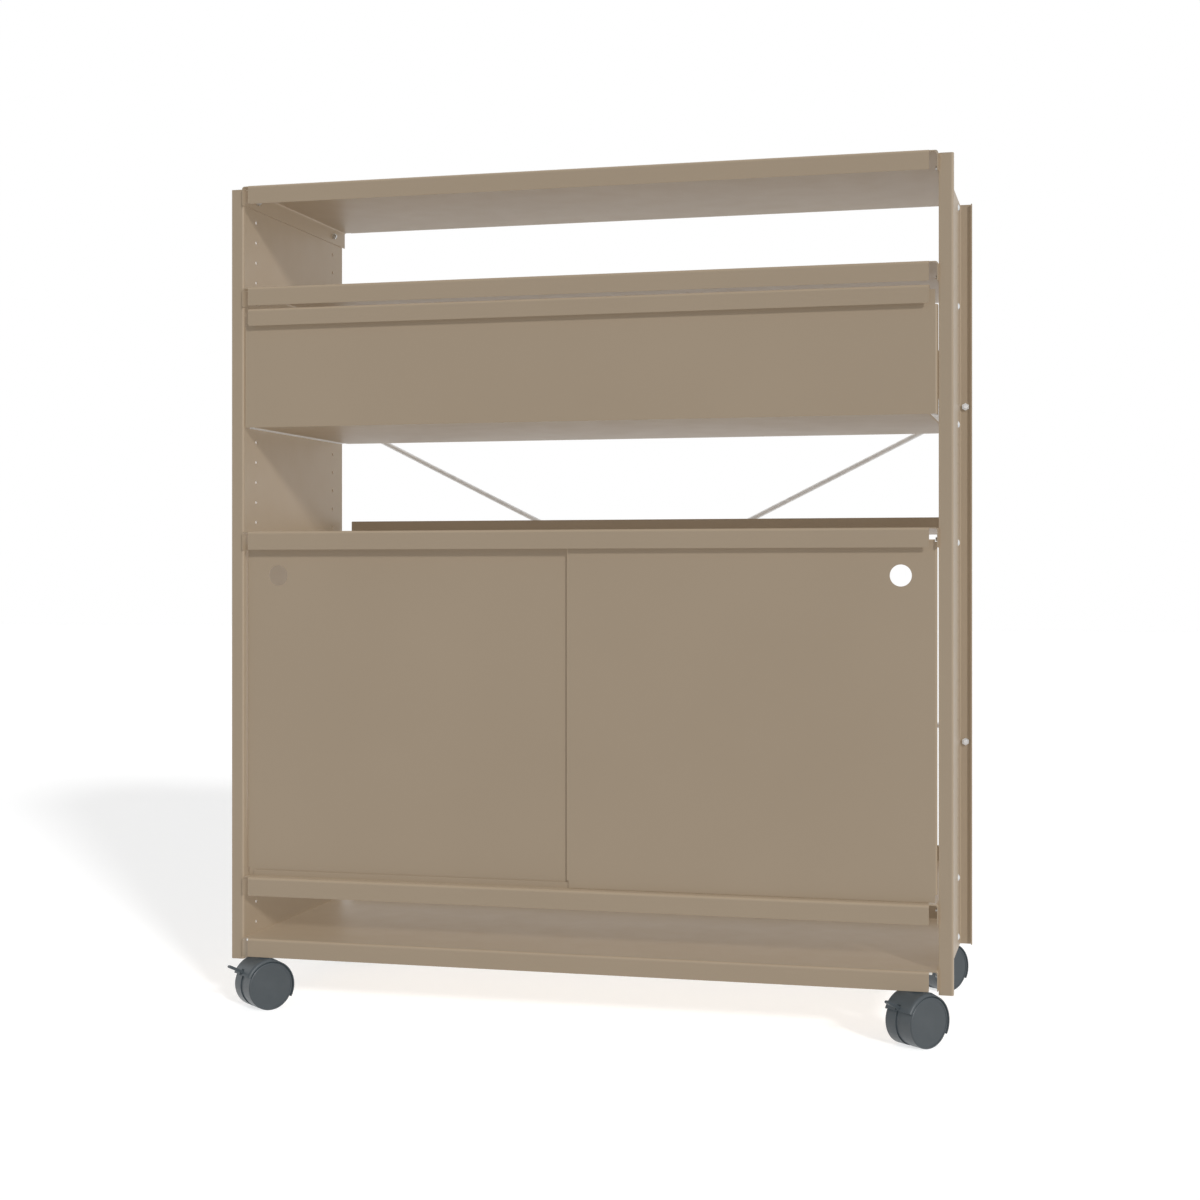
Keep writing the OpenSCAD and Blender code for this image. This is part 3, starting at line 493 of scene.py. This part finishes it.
for corner, (x, y) in STEMS.items():
    finish, tree, shader = new_finish(f"turned_wheel_plastic_{corner}", IOR=1.5)
    centre = (x * MM, y * MM, AXLE_HEIGHT)
    place = own_place(tree, centre=centre, turn=(0, 0, AXLE_TURN))
    vary(tree, shader,
         patches=noise(tree, place, scale=60, detail=3), dark=PLASTIC_LOW, light=PLASTIC_HIGH,
         grain=noise(tree, place, scale=300, detail=3), smooth=0.30, rough=0.42)
    relief(tree, shader, axle_rings(tree, place), depth=0.01 * MM, strength=0.3)
    dress([f"caster_wheel_a_{corner}", f"caster_wheel_b_{corner}"], finish)
print("casters:", len(STEMS))

# %% [markdown]
# ## Nylon glides
#
# The doors stand on small shoes of natural nylon, a waxy off-white plastic that lets a
# little light in. Plain white would look like paint, so a touch of subsurface scattering
# gives it that look.

# %% Nylon
NYLON_LOW, NYLON_HIGH = (0.56, 0.55, 0.50), (0.64, 0.62, 0.57)

nylon, tree, shader = new_finish("natural_nylon", IOR=1.53, Subsurface_Weight=0.15,
                                 Subsurface_Scale=2 * MM)
place = own_place(tree)
vary(tree, shader,
     patches=noise(tree, place, scale=80, detail=3), dark=NYLON_LOW, light=NYLON_HIGH,
     grain=noise(tree, place, scale=400, detail=2), smooth=0.42, rough=0.55)
glides = named("door_glides")
dress(glides, nylon)
print("glide parts:", len(glides))

# %% [markdown]
# ## Screw threads
#
# A thread is a ridge that winds along a shank, and it shows where a bolt or a rod stands out
# of its nut. It could be cut into the shank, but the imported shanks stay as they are, so a low
# ridge is laid over each. A ridge is a tube of four-sided section carried along a helix. It
# fades out at both ends, as a cut thread runs out.

# %% Thread ridge
FOOT_HALF, TOP_HALF, END_GAP = 0.28, 0.08, 0.3  # shares of the pitch
FOOT_SUNK = 0.3  # share of the ridge's height


def thread(start, along, radius, pitch, length, height):
    """A ridge on a shank from start: at angle a it stands at radius * (cos a, sin a) and has
    run a * pitch / 2 pi along the axis. Its section is a trapezium, half a pitch wide at its
    foot, which is sunk in the shank. It fades over a quarter turn and leaves a gap at each
    end."""
    axis = np.array(along, float)
    first = np.roll(axis, 1)
    second = np.cross(axis, first)
    angle = np.linspace(0, 2 * math.pi * (length / pitch - 2 * END_GAP), 64)[:, None]
    fade = np.clip(np.minimum(angle, angle[-1] - angle) / (math.pi / 2), 0.1, 1)
    out = np.array([-FOOT_SUNK, -FOOT_SUNK, 1, 1]) * height * fade
    section = np.array([-FOOT_HALF, FOOT_HALF, TOP_HALF, -TOP_HALF]) * pitch
    run = section + angle * pitch / (2 * math.pi) + END_GAP * pitch
    reach = (radius + out)[..., None]
    return (np.array(start) + run[..., None] * axis
            + reach * (np.cos(angle)[..., None] * first + np.sin(angle)[..., None] * second))


# %% [markdown]
# ## Threads on bolts and rods
#
# Each shelf bolt stands 2 mm out of the nut on its inner face, towards the middle of the
# cabinet. Each brace rod stands 1.5 mm out of its nut, towards the front. The coarse pitches
# of M5 and M6 screws are 0.8 and 1 mm.

# %% Threads on bolts and rods
BOLT_ROWS_Y = (-150, 150)
SHELF_BOLTS_Z = (1199, 1049, 689, 179, 89)
BOLT_NUT_FACE_X, ROD_NUT_FACE_Y = 503.5, 188.5
BOLT_THREAD = {"radius": 2.5 * MM, "pitch": 0.8 * MM, "length": 2.0 * MM, "height": 0.22 * MM}
ROD_THREAD = {"radius": 3 * MM, "pitch": 1.0 * MM, "length": 1.5 * MM, "height": 0.25 * MM}

bolt_ends = [(side, np.array([side * BOLT_NUT_FACE_X, y, z]) * MM)
             for side in (-1, 1) for y in BOLT_ROWS_Y for z in SHELF_BOLTS_Z]
rod_ends = [np.array([side * ROD_END_X, ROD_NUT_FACE_Y, ROD_CROSSING_Z + end * ROD_RISE]) * MM
            for side in (-1, 1) for end in (-1, 1)]
bolt_threads = surface("shelf_bolt_threads", [
    thread(start, (-side, 0, 0), **BOLT_THREAD) for side, start in bolt_ends])
rod_threads = surface("brace_rod_threads", [
    thread(start, (0, -1, 0), **ROD_THREAD) for start in rod_ends])
for piece in (bolt_threads, rod_threads):
    piece.data.materials.append(zinc_plating)
    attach(piece, "cabinet")
print("threads:", len(bolt_ends), "bolts and", len(rod_ends), "rod ends")

# %% [markdown]
# ## Rivets on the drawer's slides
#
# Each slide is riveted to the drawer's side, and the row of low domes shows once the drawer
# is pulled out. A rivet head is a flat cap of an ellipsoid. It could be a squashed sphere cut
# in half. Turned about its own axis instead, it has an even grid of rings, with a small flat
# in the middle to close it.

# %% Slide rivets
def rivet(seat, along, radius, height, sunk=0.1 * MM):
    """Rings about an axis: at angle a they have the radius * cos a and stand height * sin a
    over the seat. A first ring, sunk in the sheet, hides the joint."""
    axis = np.array(along, float)
    first = np.roll(axis, 1)
    second = np.cross(axis, first)
    a = np.linspace(0, math.radians(86), 9)
    reach = np.concatenate([[radius], radius * np.cos(a)])[:, None, None]
    rise = np.concatenate([[-sunk], height * np.sin(a)])[:, None, None]
    around = np.linspace(0, 2 * math.pi, 25)[None, :-1, None]
    return (np.array(seat) + rise * axis
            + reach * (np.cos(around) * first + np.sin(around) * second))


SLIDE_FACE_X, SLIDE_MIDDLE_Z = 497.7, 869
RIVETS_Y = (-150, -75, 0, 75, 150)
RIVET_RADIUS, RIVET_HEIGHT = 3.5 * MM, 1.3 * MM

rivet_seats = [(side, np.array([side * SLIDE_FACE_X, y, SLIDE_MIDDLE_Z]) * MM)
               for side in (-1, 1) for y in RIVETS_Y]
slide_rivets = surface("slide_rivets", [
    rivet(seat, (side, 0, 0), RIVET_RADIUS, RIVET_HEIGHT) for side, seat in rivet_seats])
slide_rivets.data.materials.append(zinc_plating)
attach(slide_rivets, "drawer")
print("rivets on each slide:", len(RIVETS_Y))

# %% [markdown]
# ## Ribs on the brake levers
#
# A brake lever is pressed with the toe of a shoe, and its blade has cross ribs near the tip
# so that the shoe doesn't slip. A rib is a low half-round bar with rounded ends. A cylinder
# would end in sharp rims, so its section shrinks along its length as on a long dome. The ribs
# lie in the caster's own directions, along the lever and along the axle.

# %% Ribs on the brake levers
LEVER_RISE = math.radians(26)
PIVOT_REACH, PIVOT_HEIGHT = 24.6 * MM, 51.5 * MM
BLADE_THICKNESS = 4 * MM
RIB_PLACES = np.arange(23, 33.1, 2) * MM
RIB_HALF_LENGTH, RIB_WIDTH, RIB_HEIGHT = 3.3 * MM, 1.1 * MM, 0.45 * MM

heading = np.array([math.cos(CASTER_TURN), math.sin(CASTER_TURN), 0])
upwards = np.array([0, 0, 1])
along_lever = math.cos(LEVER_RISE) * heading + math.sin(LEVER_RISE) * upwards
along_axle = np.cross(upwards, heading)
off_blade = np.cross(along_lever, along_axle)


def rib(pivot, reach):
    """A bar across the blade, reach from the pivot: over its section angle v it is an ellipse
    of width by height, and over its length u the ellipse shrinks by the root of 1 - u^8."""
    u = np.linspace(1, -1, 17)[:, None]
    v = np.linspace(0, 2 * math.pi, 13)[None, :-1]
    size = np.sqrt(np.clip(1 - u ** 8, 0.01, 1))
    centre = pivot + reach * along_lever + BLADE_THICKNESS / 2 * off_blade
    return (centre + (u * RIB_HALF_LENGTH)[..., None] * along_axle
            + (size * np.cos(v) * RIB_WIDTH / 2)[..., None] * along_lever
            + (size * np.sin(v) * RIB_HEIGHT)[..., None] * off_blade)


for corner, (x, y) in STEMS.items():
    pivot = np.array([x, y, 0]) * MM + PIVOT_REACH * heading + PIVOT_HEIGHT * upwards
    ribs = surface(f"lever_ribs_{corner}", [rib(pivot, reach) for reach in RIB_PLACES])
    ribs.data.materials.append(caster_plastic)
    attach(ribs, f"brake_{corner}")
print("ribs on each lever:", len(RIB_PLACES))
